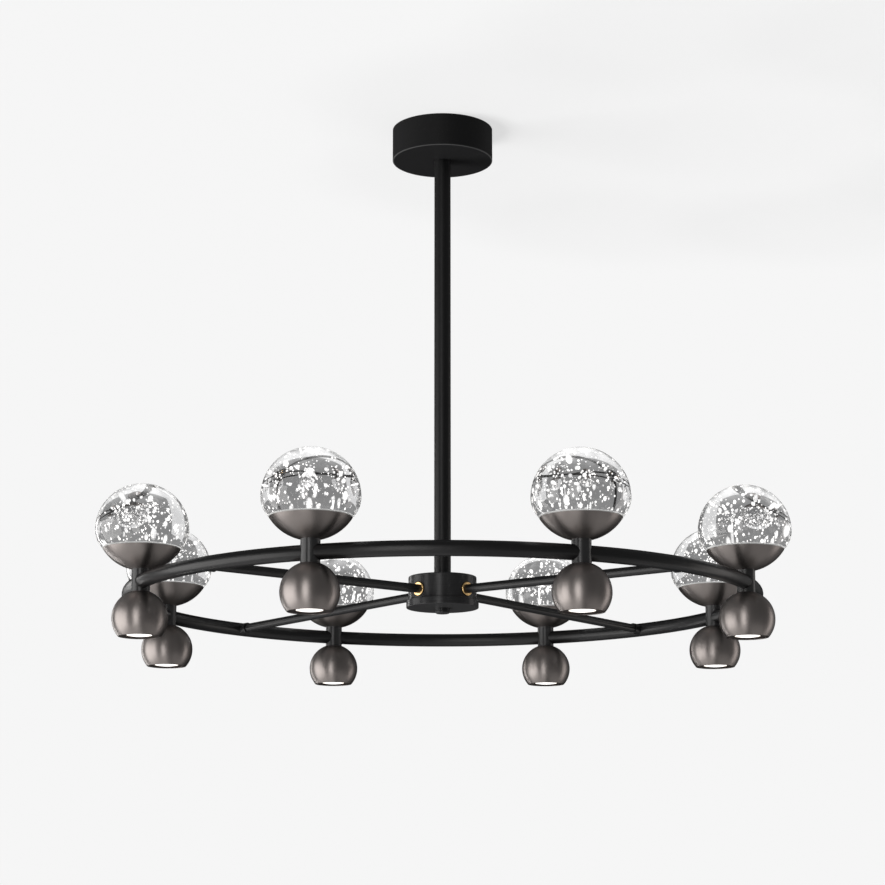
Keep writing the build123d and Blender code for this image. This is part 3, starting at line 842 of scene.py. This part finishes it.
def screen(name, corners, tone, brightness, rays):
    """Glowing panel that only one kind of ray sees.

    Metal reflects a "glossy" one, and a "transmission" one shows through the crystal."""
    f = Finish(name)
    piece = panel(name, corners, f.done(f.glow(tone, brightness)))
    for kind in ("camera", "diffuse", "glossy", "transmission", "volume_scatter", "shadow"):
        setattr(piece, f"visible_{kind}", kind == rays)


def around(reach, bearing):
    """Place (x, y) at a reach and a bearing about the rod."""
    return reach * sin(radians(bearing)), -reach * cos(radians(bearing))


def upright(start, end, low, high):
    """Corners of an upright panel that stands on the line from start to end."""
    return [(*start, low), (*end, low), (*end, high), (*start, high)]


def flat(left, right, first, last, height):
    """Corners of a level panel, which faces up where last lies behind first, or else down."""
    places = ((left, first), (right, first), (right, last), (left, last))
    return [(*place, height) for place in places]


class CHANDELIER_OT_studio(bpy.types.Operator):
    """Ceiling, floor, screens, key light, background and camera"""

    bl_idname = "chandelier.studio"
    bl_label = "Studio"

    def execute(self, context):
        studio = context.scene.chandelier_studio
        self.sheets(studio)
        self.screens(studio)
        self.key_light(context, studio)
        self.background(context, studio)
        self.camera(context, studio)
        context.scene.view_settings.view_transform = "Standard"
        return {"FINISHED"}

    def sheets(self, studio):
        """Ceiling that takes the canopy's soft shadow, and an even floor.

        The ceiling's own glow and the light that its matt paint takes add up to the paper."""
        reach = SHEET_REACH
        lit = studio.ceiling_matt * (studio.ambient + studio.key * KEY_WAY.normalized().z / pi)
        f = Finish("ceiling_paint")
        glow = f.glow([c - lit for c in studio.paper])
        matt = f.add("ShaderNodeBsdfDiffuse", {}, {"Color": grey(studio.ceiling_matt)})["BSDF"]
        both = f.add("ShaderNodeAddShader", {}, {0: glow, 1: matt})["Shader"]
        corners = flat(-reach, reach, reach, -reach, CEILING_HEIGHT)
        ceiling = panel("ceiling", corners, f.done(one_sided(f, both)))
        f = Finish("floor_paint")
        corners = flat(-reach, reach, -reach, reach, -studio.floor_drop)
        floor = panel("floor", corners, f.done(one_sided(f, f.glow(studio.paper))))
        for sheet in (ceiling, floor):
            sheet.visible_shadow = sheet.visible_diffuse = sheet.visible_glossy = False

    def screens(self, studio):
        """Bright screens for the metal to reflect, and a grey shade behind the crystal balls."""
        for name, start, end, low, high, brightness, tone in SCREENS:
            ends = around(SCREEN_REACH, start), around(SCREEN_REACH, end)
            screen(name, upright(*ends, low, high), tone, brightness, "glossy")
        height = FLOOR_SCREEN_LIFT - studio.floor_drop
        for name, left, right, brightness in FLOOR_SCREENS:
            corners = flat(left, right, FLOOR_SCREEN_NEAR, FLOOR_SCREEN_FAR, height)
            screen(name, corners, WHITE, brightness, "glossy")
        shade = {name: upright(*ends, SHADE_LOW, SHADE_TOP) for name, *ends in SHADE_WALLS}
        shade["shade_roof"] = flat(-SHADE_WIDE, SHADE_WIDE, SHADE_REACH, -SHADE_REACH, SHADE_TOP)
        for name, corners in shade.items():
            screen(name, corners, grey(1.0), studio.shade, "transmission")

    def key_light(self, context, studio):
        """Wide soft light, which neither metal nor crystal shows."""
        key = bpy.data.lights.new("key", "SUN")
        key.energy, key.angle = studio.key, KEY_ANGLE
        lamp = bpy.data.objects.new("key", key)
        context.scene.collection.objects.link(lamp)
        lamp.rotation_mode = "QUATERNION"
        lamp.rotation_quaternion = KEY_WAY.to_track_quat("-Z", "Y")
        lamp.visible_glossy = lamp.visible_transmission = False

    def background(self, context, studio):
        """Paper for the camera and crystal, a dark surround for metal, even light for the rest."""
        f = Finish("studio", "worlds")
        path = f.add("ShaderNodeLightPath", {}, {})
        seen = path["Is Camera Ray"].math("MAXIMUM", path["Is Transmission Ray"])
        tone = f.mix(path["Is Glossy Ray"], grey(studio.ambient), grey(studio.surround))
        links = {"Color": f.mix(seen, tone, studio.paper), "Strength": 1.0}
        even = f.add("ShaderNodeBackground", {}, links)["Background"]
        f.add("ShaderNodeOutputWorld", {}, {"Surface": even})
        context.scene.world = f.owner

    def camera(self, context, studio):
        """Camera that stands away from the rod, faces it and looks a little up."""
        data = bpy.data.cameras.new("camera")
        data.lens, data.sensor_width = studio.focal, SENSOR_WIDTH
        data.clip_start, data.clip_end = CAMERA_CLIP
        camera = bpy.data.objects.new("camera", data)
        context.scene.collection.objects.link(camera)
        reach, turn = studio.camera_reach, studio.camera_turn
        camera.location = (reach * cos(turn), reach * sin(turn), -studio.camera_drop)
        camera.rotation_euler = (pi / 2 + studio.camera_pitch, 0.0, turn + pi / 2)
        context.scene.camera = camera


# ---------------------------------------------------------------- panel and registration

STEPS = (
    CHANDELIER_OT_coated, CHANDELIER_OT_satin, CHANDELIER_OT_nickel, CHANDELIER_OT_brass,
    CHANDELIER_OT_crystals, CHANDELIER_OT_optics, CHANDELIER_OT_fittings, CHANDELIER_OT_studio,
)
SETTINGS = {
    "chandelier_crystal": CrystalSettings,
    "chandelier_finishes": FinishSettings,
    "chandelier_studio": StudioSettings,
}


class CHANDELIER_PT_sidebar(bpy.types.Panel):
    """Lists the steps and their settings"""

    bl_idname = "CHANDELIER_PT_sidebar"
    bl_label = "Orb chandelier"
    bl_space_type = "VIEW_3D"
    bl_region_type = "UI"
    bl_category = "Chandelier"

    def draw(self, context):
        for step in STEPS:
            self.layout.operator(step.bl_idname)
        for name, group in SETTINGS.items():
            box = self.layout.box()
            for setting in group.__annotations__:
                box.prop(getattr(context.scene, name), setting)


CLASSES = (*SETTINGS.values(), *STEPS, CHANDELIER_PT_sidebar)


def register():
    for cls in CLASSES:
        bpy.utils.register_class(cls)
    for name, group in SETTINGS.items():
        setattr(bpy.types.Scene, name, PointerProperty(type=group))


def unregister():
    for name in SETTINGS:
        delattr(bpy.types.Scene, name)
    for cls in reversed(CLASSES):
        bpy.utils.unregister_class(cls)


def main():
    """Builds the chandelier's looks."""
    register()
    for step in STEPS:
        group, name = step.bl_idname.split(".")
        getattr(getattr(bpy.ops, group), name)()


if __name__ == "__main__":
    main()
